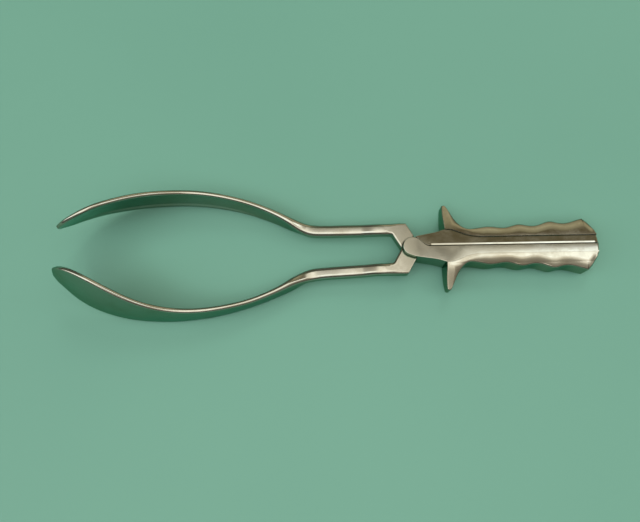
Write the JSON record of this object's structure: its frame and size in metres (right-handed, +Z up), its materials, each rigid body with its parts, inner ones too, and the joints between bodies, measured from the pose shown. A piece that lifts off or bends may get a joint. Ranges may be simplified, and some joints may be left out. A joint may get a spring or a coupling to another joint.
{
  "type": "obstetric delivery forceps",
  "caption": "Two-branch delivery forceps of polished steel: curved blades on parallel shanks, an interlocking cross-over lock, and finger-grooved hollow handles with horn-shaped rests.",
  "frame": {"origin": "centre of the closed forceps' footprint, on the level it rests on", "axes": "+X from the blade tips to the butts of the handles, +Y to the side of the right branch's handle, +Z up as it lies on a table"},
  "size_m": [0.3505, 0.0858, 0.0503],
  "materials": {
    "forged_steel": "polished",
    "grip_steel": "polished, slightly warmer and softer than the forging"
  },
  "bodies": {
    "left_branch": {"left_forging": "forged_steel", "left_grip": "grip_steel"},
    "right_branch": {"right_forging": "forged_steel", "right_grip": "grip_steel"}
  },
  "joints": [
    {"name": "lock_pivot", "type": "hinge", "parent": "left_branch", "child": "right_branch", "pos_m": [0.05401, 0, 0.01339], "axis": [0.0341, 0, 0.9994], "range_deg": [0, 15]}
  ]
}
